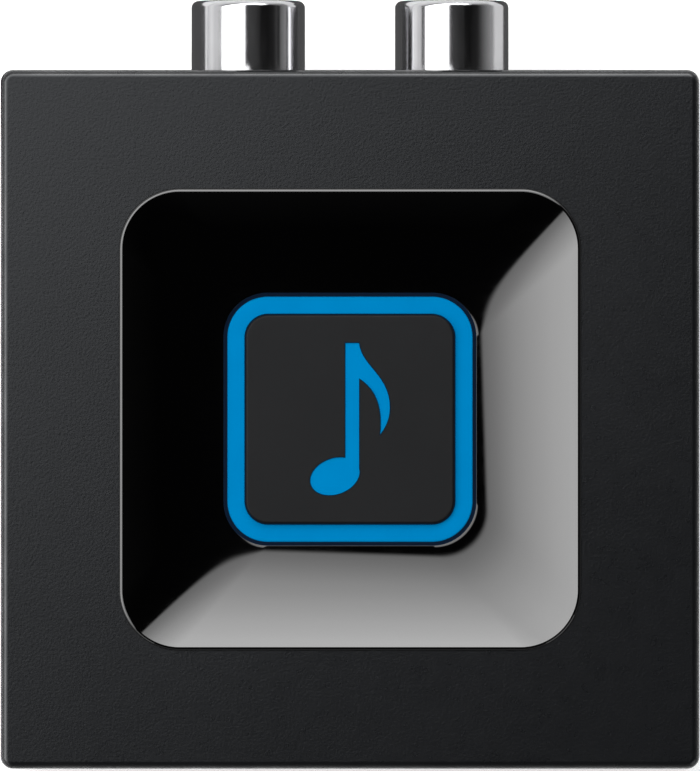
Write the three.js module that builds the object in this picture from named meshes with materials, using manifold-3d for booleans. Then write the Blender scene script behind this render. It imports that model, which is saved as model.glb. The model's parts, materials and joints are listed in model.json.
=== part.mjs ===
// A small square wireless audio receiver: a matte box with a glossy dish and a lit push button on top,
// two phono jacks, a 3.5 mm jack and a power inlet at the rear.
// Millimetres, +Z up, rear along +Y. The origin is the middle of the base pad's underside.

import * as THREE from 'three';
import { mergeVertices } from 'three/addons/utils/BufferGeometryUtils.js';
import Module from 'manifold-3d';

const wasm = await Module();
wasm.setup();

// ---- Driving dimensions -------------------------------------------------------------------------

const FIT = 0.05; // gap between pieces that touch on the real object

const BOX = { side: 50.8, corner: 0.9, edge: 0.55, wall: 1.6, rearWall: 2.0, top: 23.3, bottom: 0.6 };
const PAD = { side: 42, corner: 3, thickness: 1.15, recess: 0.6, edge: 0.3, gap: 0.15 };
const COVER = { top: 2.4, lipTop: 4.0, lipWall: 1.1, lipGap: 0.2, parting: 0.2 };

const DISH = { side: 33.5, corner: 4.4, rimProud: 0.2, rimWidth: 0.25, rimEdge: 0.12, depth: 1.8 };
const DISH_FLOOR = { side: 18.8, thickness: 1.4, ledge: 1 };
const DISH_FLANGE = { side: 36.8, corner: 5.5, bottom: 20.7, overlap: 0.2 };

const OPENING = { side: 18.4, corner: 3.2 };
const LENS = { side: 17.86, corner: 2.95, top: 21.2, edge: 0.12 };
const LENS_FLANGE = { side: 19.8, corner: 3.85, bottom: 19.15, top: 19.85 };
const LENS_HOLLOW = { side: 15.6, corner: 2, depth: 0.4, bossRadius: 2.4 };
const CAP = { side: 15.2, corner: 1.65, top: 21.7, seat: 20.3, edge: 0.2, sideGap: 0.08 };
const SYMBOL = { stroke: 1.0, sink: 0.15, clearance: 0.06, overlap: 0.2 };

const JACK_Z = 12.2; // height of every jack's axis
const PANEL = { width: 46.4, bottom: 4.2, top: 21.3, thickness: 1.35 };
const WINDOW = { width: 44.6, height: 15.6, corner: 1.5, middle: 12.4 };
const PHONO = { pitch: 14.95, radius: 4.17, bore: 3.6, tip: 30.7, root: 19.95, tipRound: 0.5 };
const PHONO_BLOCK = { halfWidth: 12.9, front: 12.4, top: 17.9 };
const HOLE_GAP = 0.15; // round the jacks, in the rear panel
const BORE_GAP = 0.1; // round the jacks, in the blocks that hold them
const INSULATOR = { radius: 3.5, bore: 2.15, front: 30.1, back: 20.0 };
const CONTACT = { radius: 2.05, bore: 1.6, front: 29.6, back: 20.1 };
const MINIJACK = { x: -17.4, width: 6.4, front: 10.2, top: 15.4, bore: 1.85, bushing: 2.9, bushingEnd: 24.1 };
const POWER = { x: 17.4, width: 7.2, front: 12.4, top: 16.0, bore: 1.9, nose: 2.95, pin: 0.65, pinEnd: 22.9 };

const MAIN = { bottom: 4.6, top: 5.8, halfWidth: 22.6, front: -22.4, back: 21.7, corner: 0.8, notch: 0.9 };
const SWITCH_BOARD = { bottom: 13.2, top: 14.4, width: 28, depth: 24, corner: 1 };

const MODULE = { x0: -9, x1: 4, y0: -21.8, y1: -3.8, thickness: 0.8, canSide: 11.6, canHeight: 2, canY: -10 };
const ANTENNA = { legs: 5, pitch: 2.2, width: 0.6, length: 4, left: -8.2, low: -21.2, thickness: 0.1 };
const COMPONENTS = [
  { name: 'converter_chip', finish: 'chip', size: [5, 5, 0.9], at: [-2, 5.2] },
  { name: 'driver_chip', finish: 'chip', size: [5, 4, 1.4], at: [6, 8.2] },
  { name: 'regulator_chip', finish: 'chip', size: [3, 1.8, 1.1], at: [18.4, 0.4] },
  { name: 'crystal_can', finish: 'nickel', size: [3.2, 2.5, 0.8], at: [9.2, -10] },
  { name: 'power_inductor', finish: 'chip', size: [4.2, 4.2, 2], edge: 0.3, at: [17.6, -12.4] },
];
const CAPACITOR_HEIGHT = 5.4;
const CAPACITORS = [
  { radius: 2.4, at: [-11.6, 7.6] },
  { radius: 2.4, at: [-11.6, 1.8] },
  { radius: 2.0, at: [-17.6, -0.6] },
];

const PILLARS = [[-18.6, -18.6], [18.6, -18.6], [-18.6, 6.8], [18.6, 6.8]];
const PILLAR = { radius: 2.2, bottom: 4.3, top: 20.3, holeTop: 12, hole: 1.0, ribGap: 0.3, ribHalf: 0.5 };
const COVER_BOSS = { radius: 2.4, headHole: 2.1, headDepth: 2.6, shankHole: 1.1 };
const BOARD_POSTS = [[-20.2, -6], [20.2, -6]];
const BOARD_RESTS = [[-9, 17.5], [9, 17.5]];
const BOARD_POST = { radius: 1.6, hole: 0.8, clearance: 1.0 };
const BEZEL_POSTS = [[-11.9, -10.2], [11.9, -10.2], [-11.9, 10.2], [11.9, 10.2]];
const BEZEL_POST = { radius: 1.7, hole: 0.8, holeTop: 18.6, clearance: 0.95 };

const COVER_SCREW = { head: 1.9, headHeight: 1.1, shank: 0.9, length: 7, seat: 2.55 };
const SMALL_SCREW = { head: 1.5, headHeight: 0.9, shank: 0.7 };
const MAIN_SCREW_LENGTH = 3;
const BEZEL_SCREW_LENGTH = 4.4;

const LED = { offset: 6.6, side: 1.6, height: 0.7 };
const SHIELD = { side: 20.8, corner: 4, inside: 17.8, insideCorner: 3, gap: 0.4 };
const SWITCH = { half: 3, baseTop: 17.3, coverTop: 17.65, wellRadius: 2.4, wellBottom: 15.3, mouth: 1.85 };
const PLUNGER = { footRadius: 2.2, footBottom: 16.4, footTop: 17.25, radius: 1.7 };
const LINK = { x: 12.4, pitch: 2.54, count: 4, width: 2.5, pin: 0.6, headerTop: 8.35, holeGap: 0.1 };
const LINK_PIN = { bottom: 4.7, top: 14.3 };

const FAR = 40; // beyond every piece, for tools that cut right through
const INTO_WALL = 0.5; // how far a rib or a boss runs into the wall that carries it

// ---- Materials ----------------------------------------------------------------------------------

const finish = (color, roughness, metalness = 0) => ({ color, roughness, metalness });
const FINISHES = {
  matteBlack: finish(0x2b2b2d, 0.7),
  capBlack: finish(0x29292b, 0.6),
  glossBlack: finish(0x050505, 0.08),
  blueLens: finish(0x0088c6, 0.35),
  rubber: finish(0x1c1c1d, 0.9),
  nickel: finish(0xd8d8d6, 0.15, 1),
  steel: finish(0x9a9a9c, 0.35, 1),
  brass: finish(0xc9a24a, 0.3, 1),
  white: finish(0xeeeeea, 0.5),
  red: finish(0xb01818, 0.5),
  jackBlack: finish(0x151515, 0.5),
  greenBoard: finish(0x1d5a33, 0.5),
  chip: finish(0x1a1a1a, 0.6),
  aluminium: finish(0xc0c2c4, 0.3, 1),
  ledWhite: finish(0xf4f2dc, 0.4),
};

const receiver = new THREE.Group();

function place(name, solid, finishName, x = 0, y = 0, z = 0) {
  const material = new THREE.MeshStandardMaterial(FINISHES[finishName]);
  const mesh = new THREE.Mesh(solid.isBufferGeometry ? solid : toGeometry(solid), material);
  mesh.name = name;
  mesh.position.set(x, y, z);
  receiver.add(mesh);
  return mesh;
}

// ---- Solids -------------------------------------------------------------------------------------

function toSolid(geometry) {
  const bare = geometry.index ? geometry.toNonIndexed() : geometry.clone();
  bare.deleteAttribute('normal');
  bare.deleteAttribute('uv');
  const merged = mergeVertices(bare, 1e-4);
  const vertProperties = new Float32Array(merged.attributes.position.array);
  const triVerts = new Uint32Array(merged.index.array);
  return new wasm.Manifold(new wasm.Mesh({ numProp: 3, vertProperties, triVerts }));
}

function toGeometry(solid) {
  const { vertProperties, triVerts } = solid.getMesh();
  const geometry = new THREE.BufferGeometry();
  geometry.setAttribute('position', new THREE.BufferAttribute(vertProperties, 3));
  geometry.setIndex(new THREE.BufferAttribute(triVerts, 1));
  geometry.computeVertexNormals();
  return geometry;
}

function roundedRectangle(width, height, corner, x = 0, y = 0) {
  const shape = new THREE.Shape();
  const left = x - width / 2 + corner;
  const right = x + width / 2 - corner;
  const low = y - height / 2 + corner;
  const high = y + height / 2 - corner;
  shape.absarc(right, low, corner, -Math.PI / 2, 0);
  shape.absarc(right, high, corner, 0, Math.PI / 2);
  shape.absarc(left, high, corner, Math.PI / 2, Math.PI);
  shape.absarc(left, low, corner, Math.PI, Math.PI * 1.5);
  shape.closePath();
  return shape;
}

// A plain upright slab of an outline, from height z0 to z1.
function slab(shape, z0, z1, curveSegments = 3) {
  const options = { depth: z1 - z0, bevelEnabled: false, curveSegments };
  return toSolid(new THREE.ExtrudeGeometry(shape, options).translate(0, 0, z0));
}

function squareSlab(side, corner, z0, z1) {
  return slab(roundedRectangle(side, side, corner), z0, z1);
}

function box(x0, x1, y0, y1, z0, z1) {
  const geometry = new THREE.BoxGeometry(x1 - x0, y1 - y0, z1 - z0);
  return toSolid(geometry.translate((x0 + x1) / 2, (y0 + y1) / 2, (z0 + z1) / 2));
}

// A square slab with rounded top and bottom edges.
function softSlab(side, corner, z0, z1, edge, bevelSegments = 2) {
  const shape = roundedRectangle(side - 2 * edge, side - 2 * edge, corner - edge);
  const bevel = { bevelEnabled: true, bevelThickness: edge, bevelSize: edge, bevelSegments };
  const options = { depth: z1 - z0 - 2 * edge, curveSegments: 3, ...bevel };
  return toSolid(new THREE.ExtrudeGeometry(shape, options).translate(0, 0, z0 + edge));
}

// A square slab whose outline grows from side0 at z0 to side1 at z1 along a bowed profile.
function flaredSlab(side0, side1, corner1, z0, z1, bow, steps) {
  const shape = roundedRectangle(side1, side1, corner1);
  const options = { depth: z1 - z0, steps, bevelEnabled: false, curveSegments: 3 };
  const geometry = new THREE.ExtrudeGeometry(shape, options);
  const position = geometry.attributes.position;
  for (let i = 0; i < position.count; i += 1) {
    const rise = position.getZ(i) / (z1 - z0);
    const side = side0 + (side1 - side0) * Math.pow(rise, 1 / bow);
    const scale = side / side1;
    position.setXY(i, position.getX(i) * scale, position.getY(i) * scale);
  }
  return toSolid(geometry.translate(0, 0, z0));
}

// A small component body standing on z = 0, its upper edges chamfered.
function softBlock(width, depth, height, edge = 0.15) {
  const outline = new THREE.Shape();
  outline.moveTo(-width / 2 + edge, -depth / 2 + edge);
  outline.lineTo(width / 2 - edge, -depth / 2 + edge);
  outline.lineTo(width / 2 - edge, depth / 2 - edge);
  outline.lineTo(-width / 2 + edge, depth / 2 - edge);
  const bevel = { bevelEnabled: true, bevelThickness: edge, bevelSize: edge, bevelSegments: 1 };
  const options = { depth: height - edge, ...bevel };
  const block = toSolid(new THREE.ExtrudeGeometry(outline, options));
  return cut(block, box(-FAR, FAR, -FAR, FAR, -FAR, 0));
}

// A round bar along Z.
function post(radius, z0, z1, x = 0, y = 0, segments = 24) {
  const geometry = new THREE.CylinderGeometry(radius, radius, z1 - z0, segments);
  return toSolid(geometry.rotateX(Math.PI / 2).translate(x, y, (z0 + z1) / 2));
}

// A round bar along Y.
function rod(radius, y0, y1, x, z, segments = 32) {
  const geometry = new THREE.CylinderGeometry(radius, radius, y1 - y0, segments);
  return toSolid(geometry.translate(x, (y0 + y1) / 2, z));
}

// A tube along Y whose outer front edge is rounded.
function sleeve(radius, bore, back, front, edge, segments = 28) {
  const profile = new THREE.Path();
  profile.moveTo(bore, front);
  profile.lineTo(bore, back);
  profile.lineTo(radius, back);
  profile.lineTo(radius, front - edge);
  profile.absarc(radius - edge, front - edge, edge, 0, Math.PI / 2);
  profile.lineTo(bore, front);
  return new THREE.LatheGeometry(profile.getPoints(1), segments);
}

function union(...solids) {
  return solids.reduce((whole, piece) => whole.add(piece));
}

function cut(solid, ...tools) {
  return tools.reduce((left, tool) => left.subtract(tool), solid);
}

// ---- Fasteners ----------------------------------------------------------------------------------

// A pan-head screw with a cross slot, head up, its head resting on z = 0.
function screw(headRadius, headHeight, shankRadius, shankLength) {
  const profile = new THREE.Path();
  profile.moveTo(0, -shankLength);
  profile.lineTo(shankRadius * 0.5, -shankLength);
  profile.lineTo(shankRadius, -shankLength + shankRadius);
  profile.lineTo(shankRadius, 0);
  profile.lineTo(headRadius, 0);
  profile.lineTo(headRadius, headHeight * 0.6);
  profile.lineTo(headRadius * 0.7, headHeight);
  profile.lineTo(0, headHeight);
  const turned = new THREE.LatheGeometry(profile.getPoints(1), 12).rotateX(Math.PI / 2);
  const slotWidth = headRadius * 0.14;
  const slotLength = headRadius * 0.6;
  const slotBottom = headHeight * 0.4;
  const across = box(-slotLength, slotLength, -slotWidth, slotWidth, slotBottom, FAR);
  const along = box(-slotWidth, slotWidth, -slotLength, slotLength, slotBottom, FAR);
  return cut(toSolid(turned), across, along);
}

// ---- Housing ------------------------------------------------------------------------------------

function topShell() {
  const half = BOX.side / 2;
  const inside = half - BOX.wall;
  const bottom = COVER.top + COVER.parting;
  const ceiling = BOX.top - BOX.wall;
  const below = box(-FAR, FAR, -FAR, FAR, -FAR, bottom);
  const hollow = box(-inside, inside, -inside, half - BOX.rearWall, 0, ceiling);
  let shell = cut(softSlab(BOX.side, BOX.corner, 0, BOX.top, BOX.edge), below, hollow);
  for (const [x, y] of PILLARS) {
    const side = Math.sign(x);
    const ribEnds = [x + side * PILLAR.ribGap, side * (inside + INTO_WALL)].sort((a, b) => a - b);
    const ribSides = [y - PILLAR.ribHalf, y + PILLAR.ribHalf];
    const rib = box(...ribEnds, ...ribSides, PILLAR.bottom, ceiling + INTO_WALL);
    shell = union(shell, post(PILLAR.radius, PILLAR.bottom, PILLAR.top, x, y, 20), rib);
    shell = cut(shell, post(PILLAR.hole, 0, PILLAR.holeTop, x, y, 12));
  }
  const opening = squareSlab(DISH.side + 2 * FIT, DISH.corner + FIT, ceiling - 1, FAR);
  const window = slab(roundedRectangle(WINDOW.width, WINDOW.height, WINDOW.corner), -4, 4)
    .rotate([90, 0, 0]).translate([0, half - 1, WINDOW.middle]);
  return cut(shell, opening, window);
}

function bottomCover() {
  const inside = BOX.side / 2 - BOX.wall - COVER.lipGap;
  const lipBack = BOX.side / 2 - BOX.rearWall - COVER.lipGap;
  const hollow = inside - COVER.lipWall;
  const root = COVER.top - INTO_WALL;
  const above = box(-FAR, FAR, -FAR, FAR, COVER.top, FAR);
  const plate = cut(softSlab(BOX.side, BOX.corner, BOX.bottom, BOX.bottom + 5, BOX.edge), above);
  const lipOuter = box(-inside, inside, -inside, lipBack, root, COVER.lipTop);
  const lipInner = box(-hollow, hollow, -hollow, lipBack - COVER.lipWall, 0, FAR);
  const bosses = PILLARS.map(([x, y]) => post(COVER_BOSS.radius, root, PILLAR.bottom - FIT, x, y, 20));
  const boardPosts = [...BOARD_POSTS, ...BOARD_RESTS].map(([x, y]) =>
    post(BOARD_POST.radius, root, MAIN.bottom - FIT, x, y, 16));
  const cover = union(plate, cut(lipOuter, lipInner), ...bosses, ...boardPosts);
  const recess = squareSlab(PAD.side + 2 * PAD.gap, PAD.corner + PAD.gap, 0, BOX.bottom + PAD.recess);
  const headHoles = PILLARS.map(([x, y]) => post(COVER_BOSS.headHole, 0, COVER_BOSS.headDepth, x, y, 16));
  const shankHoles = PILLARS.map(([x, y]) => post(COVER_BOSS.shankHole, 0, FAR, x, y, 12));
  const boardHoles = BOARD_POSTS.map(([x, y]) => post(BOARD_POST.hole, COVER.top, FAR, x, y, 12));
  return cut(cover, recess, ...headHoles, ...shankHoles, ...boardHoles);
}

function basePad() {
  const above = box(-FAR, FAR, -FAR, FAR, PAD.thickness, FAR);
  return cut(softSlab(PAD.side, PAD.corner, 0, PAD.thickness + 1, PAD.edge), above);
}

function rearPanel() {
  const front = BOX.side / 2 - BOX.rearWall - FIT - PANEL.thickness;
  const back = front + PANEL.thickness;
  const plate = box(-PANEL.width / 2, PANEL.width / 2, front, back, PANEL.bottom, PANEL.top);
  const phonoHoles = [-1, 1].map((side) =>
    rod(PHONO.radius + HOLE_GAP, 0, FAR, side * PHONO.pitch / 2, JACK_Z));
  const minijackHole = rod(MINIJACK.bushing + HOLE_GAP, 0, FAR, MINIJACK.x, JACK_Z, 24);
  const powerHole = rod(POWER.nose + HOLE_GAP, 0, FAR, POWER.x, JACK_Z, 24);
  return cut(plate, ...phonoHoles, minijackHole, powerHole);
}

// ---- Dish and button ----------------------------------------------------------------------------

function dishBezel() {
  const rimTop = BOX.top + DISH.rimProud;
  const floorTop = BOX.top - DISH.depth;
  const flangeTop = BOX.top - BOX.wall - FIT;
  const postTop = DISH_FLANGE.bottom + DISH_FLANGE.overlap;
  const rim = softSlab(DISH.side, DISH.corner, DISH_FLANGE.bottom, rimTop, DISH.rimEdge);
  const flange = squareSlab(DISH_FLANGE.side, DISH_FLANGE.corner, DISH_FLANGE.bottom, flangeTop);
  const under = flaredSlab(DISH_FLOOR.side + 2 * DISH_FLOOR.ledge, DISH.side - 1, DISH.corner,
    floorTop - DISH_FLOOR.thickness, postTop, 1, 1);
  const posts = BEZEL_POSTS.map(([x, y]) =>
    post(BEZEL_POST.radius, SWITCH_BOARD.top + FIT, postTop, x, y, 16));
  const holes = BEZEL_POSTS.map(([x, y]) => post(BEZEL_POST.hole, 0, BEZEL_POST.holeTop, x, y, 12));
  const bowlSide = DISH.side - 2 * DISH.rimWidth;
  const bowlCorner = DISH.corner - DISH.rimWidth;
  const bowl = flaredSlab(DISH_FLOOR.side, bowlSide, bowlCorner, floorTop, rimTop, 2, 5);
  const above = squareSlab(bowlSide, bowlCorner, rimTop - 1e-3, FAR);
  const opening = squareSlab(OPENING.side, OPENING.corner, 0, FAR);
  return cut(union(rim, flange, under, ...posts), ...holes, bowl, above, opening);
}

// The outlines of the lit symbol, an eighth note: its head, its stem and its flag.
function noteOutlines() {
  const head = new THREE.Shape();
  head.absellipse(-1.1, -4.15, 1.85, 1.3, 0, Math.PI * 2, false, 0.35);
  const stem = new THREE.Shape();
  stem.moveTo(0.66 - SYMBOL.stroke, -4);
  stem.lineTo(0.66, -4);
  stem.lineTo(0.66, 5.55);
  stem.lineTo(0.66 - SYMBOL.stroke, 5.55);
  const flag = new THREE.Shape();
  flag.moveTo(0.3, 5.55);
  flag.lineTo(0.66, 5.55);
  flag.bezierCurveTo(0.8, 3.9, 2.9, 3.2, 2.9, 0.9);
  flag.bezierCurveTo(2.9, 0.1, 2.65, -0.5, 2.2, -1.1);
  flag.bezierCurveTo(2.45, 1.4, 1.6, 2.5, 0.3, 3.2);
  return [head, stem, flag];
}

function noteSolid(z0, z1, grow) {
  const bevel = { bevelEnabled: true, bevelSize: grow, bevelThickness: 0, bevelSegments: 0 };
  const options = { depth: z1 - z0, curveSegments: 8, ...bevel };
  const parts = noteOutlines().map((outline) =>
    toSolid(new THREE.ExtrudeGeometry(outline, options).translate(0, 0, z0)));
  return union(...parts);
}

function buttonLens() {
  const { bottom } = LENS_FLANGE;
  const skirt = softSlab(LENS.side, LENS.corner, bottom, LENS.top, LENS.edge, 1);
  const flange = squareSlab(LENS_FLANGE.side, LENS_FLANGE.corner, bottom, LENS_FLANGE.top);
  const seat = squareSlab(CAP.side + 2 * CAP.sideGap, CAP.corner + CAP.sideGap, CAP.seat, FAR);
  const under = squareSlab(LENS_HOLLOW.side, LENS_HOLLOW.corner, 0, bottom + LENS_HOLLOW.depth);
  const hollow = cut(under, post(LENS_HOLLOW.bossRadius, 0, FAR));
  const symbol = noteSolid(CAP.seat - SYMBOL.overlap, CAP.top - SYMBOL.sink, 0);
  return union(cut(union(skirt, flange), seat, hollow), symbol);
}

function buttonCap() {
  const bottom = CAP.seat + FIT;
  const below = box(-FAR, FAR, -FAR, FAR, 0, bottom);
  const body = cut(softSlab(CAP.side, CAP.corner, bottom - 1, CAP.top, CAP.edge), below);
  return cut(body, noteSolid(bottom - 1, CAP.top + 1, SYMBOL.clearance));
}

function lightShield() {
  const top = LENS_FLANGE.bottom - SHIELD.gap;
  const outside = squareSlab(SHIELD.side, SHIELD.corner, SWITCH_BOARD.top + FIT, top);
  return cut(outside, squareSlab(SHIELD.inside, SHIELD.insideCorner, 0, FAR));
}

// ---- Button board -------------------------------------------------------------------------------

function linkPinPlaces() {
  const places = [];
  for (let i = 0; i < LINK.count; i += 1) {
    places.push((i - (LINK.count - 1) / 2) * LINK.pitch);
  }
  return places;
}

function linkHoles() {
  const half = LINK.pin / 2 + LINK.holeGap;
  return linkPinPlaces().map((y) => box(LINK.x - half, LINK.x + half, y - half, y + half, 0, FAR));
}

function buttonBoard() {
  const outline = roundedRectangle(SWITCH_BOARD.width, SWITCH_BOARD.depth, SWITCH_BOARD.corner);
  const holes = BEZEL_POSTS.map(([x, y]) => post(BEZEL_POST.clearance, 0, FAR, x, y, 12));
  return cut(slab(outline, SWITCH_BOARD.bottom, SWITCH_BOARD.top), ...holes, ...linkHoles());
}

function switchParts() {
  const bottom = SWITCH_BOARD.top + FIT;
  const { half, baseTop, coverTop, wellRadius, wellBottom, mouth } = SWITCH;
  const base = cut(box(-half, half, -half, half, bottom, baseTop), post(wellRadius, wellBottom, FAR));
  const cover = cut(box(-half, half, -half, half, baseTop + FIT, coverTop), post(mouth, 0, FAR));
  const foot = post(PLUNGER.footRadius, PLUNGER.footBottom, PLUNGER.footTop);
  const stem = post(PLUNGER.radius, PLUNGER.footBottom, LENS_FLANGE.bottom - FIT);
  place('switch_base', base, 'jackBlack');
  place('switch_cover', cover, 'steel');
  place('switch_plunger', union(foot, stem), 'jackBlack');
}

function buttonBoardParts() {
  const { head, headHeight, shank } = SMALL_SCREW;
  place('button_board', buttonBoard(), 'greenBoard');
  BEZEL_POSTS.forEach(([x, y], i) => {
    const fastener = screw(head, headHeight, shank, BEZEL_SCREW_LENGTH);
    const seat = SWITCH_BOARD.bottom - FIT;
    place(`button_board_screw_${i + 1}`, fastener, 'steel', x, y, seat).rotation.x = Math.PI;
  });
  const corners = [[-1, -1], [1, -1], [-1, 1], [1, 1]];
  corners.forEach(([x, y], i) => {
    const led = softBlock(LED.side, LED.side, LED.height);
    place(`ring_led_${i + 1}`, led, 'ledWhite', x * LED.offset, y * LED.offset, SWITCH_BOARD.top + FIT);
  });
  switchParts();
}

// ---- Main board ---------------------------------------------------------------------------------

function mainBoard() {
  const { halfWidth, front, back, corner, notch } = MAIN;
  const outline = roundedRectangle(2 * halfWidth, back - front, corner, 0, (front + back) / 2);
  const pillarHoles = PILLARS.map(([x, y]) => post(COVER_BOSS.radius + HOLE_GAP, 0, FAR, x, y, 20));
  const ribNotches = PILLARS.map(([x, y]) => {
    const ends = [x, Math.sign(x) * FAR].sort((a, b) => a - b);
    return box(...ends, y - notch, y + notch, 0, FAR);
  });
  const screwHoles = BOARD_POSTS.map(([x, y]) => post(BOARD_POST.clearance, 0, FAR, x, y, 12));
  const board = slab(outline, MAIN.bottom, MAIN.top);
  return cut(board, ...pillarHoles, ...ribNotches, ...screwHoles, ...linkHoles());
}

// The antenna's printed trace, a meander between two end legs.
function antennaOutline() {
  const { legs, pitch, width, length, left, low } = ANTENNA;
  const end = left + legs * pitch;
  const trace = new THREE.Shape();
  trace.moveTo(left, low);
  for (let i = 0; i < legs; i += 1) {
    const x = left + i * pitch;
    trace.lineTo(x, low + length);
    trace.lineTo(x + pitch / 2 + width, low + length);
    trace.lineTo(x + pitch / 2 + width, low + width);
    trace.lineTo(x + pitch, low + width);
  }
  trace.lineTo(end, low + length);
  trace.lineTo(end + width, low + length);
  trace.lineTo(end + width, low);
  for (let i = legs - 1; i >= 0; i -= 1) {
    const x = left + i * pitch;
    trace.lineTo(x + pitch / 2, low);
    trace.lineTo(x + pitch / 2, low + length - width);
    trace.lineTo(x + width, low + length - width);
    if (i > 0) {
      trace.lineTo(x + width, low);
    }
  }
  trace.lineTo(left + width, low);
  return trace;
}

function radioModule(surface) {
  const { x0, x1, y0, y1, thickness, canSide, canHeight, canY } = MODULE;
  const top = surface + thickness;
  const printed = top + FIT;
  place('radio_board', box(x0, x1, y0, y1, surface, top), 'greenBoard');
  place('radio_can', softBlock(canSide, canSide, canHeight, 0.2), 'nickel', (x0 + x1) / 2, canY, printed);
  place('radio_antenna', slab(antennaOutline(), printed, printed + ANTENNA.thickness), 'brass');
}

function capacitor(radius, height) {
  const profile = new THREE.Path();
  profile.moveTo(0, 0);
  profile.lineTo(radius, 0);
  profile.lineTo(radius, height * 0.2);
  profile.lineTo(radius * 0.92, height * 0.25);
  profile.lineTo(radius, height * 0.3);
  profile.lineTo(radius, height * 0.95);
  profile.lineTo(radius * 0.93, height);
  profile.lineTo(0, height);
  return new THREE.LatheGeometry(profile.getPoints(1), 16).rotateX(Math.PI / 2);
}

function mainBoardParts() {
  const surface = MAIN.top + FIT;
  const { head, headHeight, shank } = SMALL_SCREW;
  place('main_board', mainBoard(), 'greenBoard');
  BOARD_POSTS.forEach(([x, y], i) => {
    const fastener = screw(head, headHeight, shank, MAIN_SCREW_LENGTH);
    place(`main_board_screw_${i + 1}`, fastener, 'steel', x, y, surface);
  });
  radioModule(surface);
  COMPONENTS.forEach(({ name, finish: look, size, edge, at }) => {
    place(name, softBlock(...size, edge), look, ...at, surface);
  });
  CAPACITORS.forEach(({ radius, at }, i) => {
    place(`capacitor_${i + 1}`, capacitor(radius, CAPACITOR_HEIGHT), 'aluminium', ...at, surface);
  });
}

function boardLink() {
  const halfWidth = LINK.width / 2;
  const halfLength = LINK.count * LINK.pitch / 2;
  const block = (z0, z1) => {
    const body = box(LINK.x - halfWidth, LINK.x + halfWidth, -halfLength, halfLength, z0, z1);
    return cut(body, ...linkHoles());
  };
  place('link_header', block(MAIN.top + FIT, LINK.headerTop), 'jackBlack');
  place('link_socket', block(LINK.headerTop + FIT, SWITCH_BOARD.bottom - FIT), 'jackBlack');
  const half = LINK.pin / 2;
  linkPinPlaces().forEach((y, i) => {
    const pin = box(-half, half, -half, half, LINK_PIN.bottom, LINK_PIN.top);
    place(`link_pin_${i + 1}`, pin, 'brass', LINK.x, y);
  });
}

// ---- Rear jacks ---------------------------------------------------------------------------------

const JACK_FACE = BOX.side / 2 - BOX.rearWall - 2 * FIT - PANEL.thickness; // rear faces of the jack bodies

function phonoJacks() {
  const { pitch, radius, bore, tip, root, tipRound } = PHONO;
  const { halfWidth, front, top } = PHONO_BLOCK;
  const sides = { left: -1, right: 1 };
  const bores = Object.values(sides).map((side) =>
    rod(radius + BORE_GAP, root - FIT, FAR, side * pitch / 2, JACK_Z));
  const block = box(-halfWidth, halfWidth, front, JACK_FACE, MAIN.top + FIT, top);
  place('rca_block', cut(block, ...bores), 'jackBlack');
  for (const [label, side] of Object.entries(sides)) {
    const x = side * pitch / 2;
    const barrel = sleeve(radius, bore, root, tip, tipRound);
    const insulator = sleeve(INSULATOR.radius, INSULATOR.bore, INSULATOR.back, INSULATOR.front, 0.2);
    const contact = sleeve(CONTACT.radius, CONTACT.bore, CONTACT.back, CONTACT.front, 0.1, 24);
    place(`rca_barrel_${label}`, barrel, 'nickel', x, 0, JACK_Z);
    place(`rca_insulator_${label}`, insulator, side < 0 ? 'white' : 'red', x, 0, JACK_Z);
    place(`rca_contact_${label}`, contact, 'nickel', x, 0, JACK_Z);
  }
}

function minijack() {
  const { x, width, front, top, bore, bushing, bushingEnd } = MINIJACK;
  const root = JACK_FACE - 1;
  const block = box(x - width / 2, x + width / 2, front, JACK_FACE, MAIN.top + FIT, top);
  const well = rod(bore + BORE_GAP, front + 1, FAR, x, JACK_Z, 24);
  const seat = rod(bushing + BORE_GAP, root - FIT, FAR, x, JACK_Z, 24);
  const slot = box(x - 0.7, x + 0.7, front + 1.5, root - 0.5, JACK_Z - bore - 0.7, JACK_Z);
  const leaf = box(x - 0.6, x + 0.6, front + 1.6, root - 0.6, JACK_Z - bore - 0.6, JACK_Z - bore - 0.3);
  place('minijack_body', cut(block, well, seat, slot), 'jackBlack');
  place('minijack_bushing', sleeve(bushing, bore, root, bushingEnd, 0.25, 24), 'nickel', x, 0, JACK_Z);
  place('minijack_contact', leaf, 'brass');
}

function powerJack() {
  const { x, width, front, top, bore, nose, pin, pinEnd } = POWER;
  const noseEnd = BOX.side / 2 - BOX.rearWall + 0.3;
  const boreFront = front + 2;
  const block = box(x - width / 2, x + width / 2, front, JACK_FACE, MAIN.top + FIT, top);
  const body = union(block, rod(nose, JACK_FACE - 1, noseEnd, x, JACK_Z, 24));
  const well = rod(bore, boreFront, FAR, x, JACK_Z, 24);
  const pinHole = rod(pin + BORE_GAP, front + 0.4, FAR, x, JACK_Z, 12);
  const slot = box(x - 0.8, x + 0.8, boreFront, JACK_FACE - 1, JACK_Z - bore - 0.8, JACK_Z);
  const tip = new THREE.CylinderGeometry(pin * 0.5, pin, 0.4, 12).translate(x, pinEnd + 0.2, JACK_Z);
  const shaft = union(rod(pin, front + 0.5, pinEnd, x, JACK_Z, 12), toSolid(tip));
  const leafEnd = JACK_FACE - 1.1;
  const leaf = box(x - 0.7, x + 0.7, boreFront + 0.1, leafEnd, JACK_Z - bore - 0.7, JACK_Z - bore - 0.4);
  place('dc_jack_body', cut(body, well, pinHole, slot), 'jackBlack');
  place('dc_jack_pin', shaft, 'nickel');
  place('dc_jack_contact', leaf, 'nickel');
}

// ---- Assembly -----------------------------------------------------------------------------------

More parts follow.
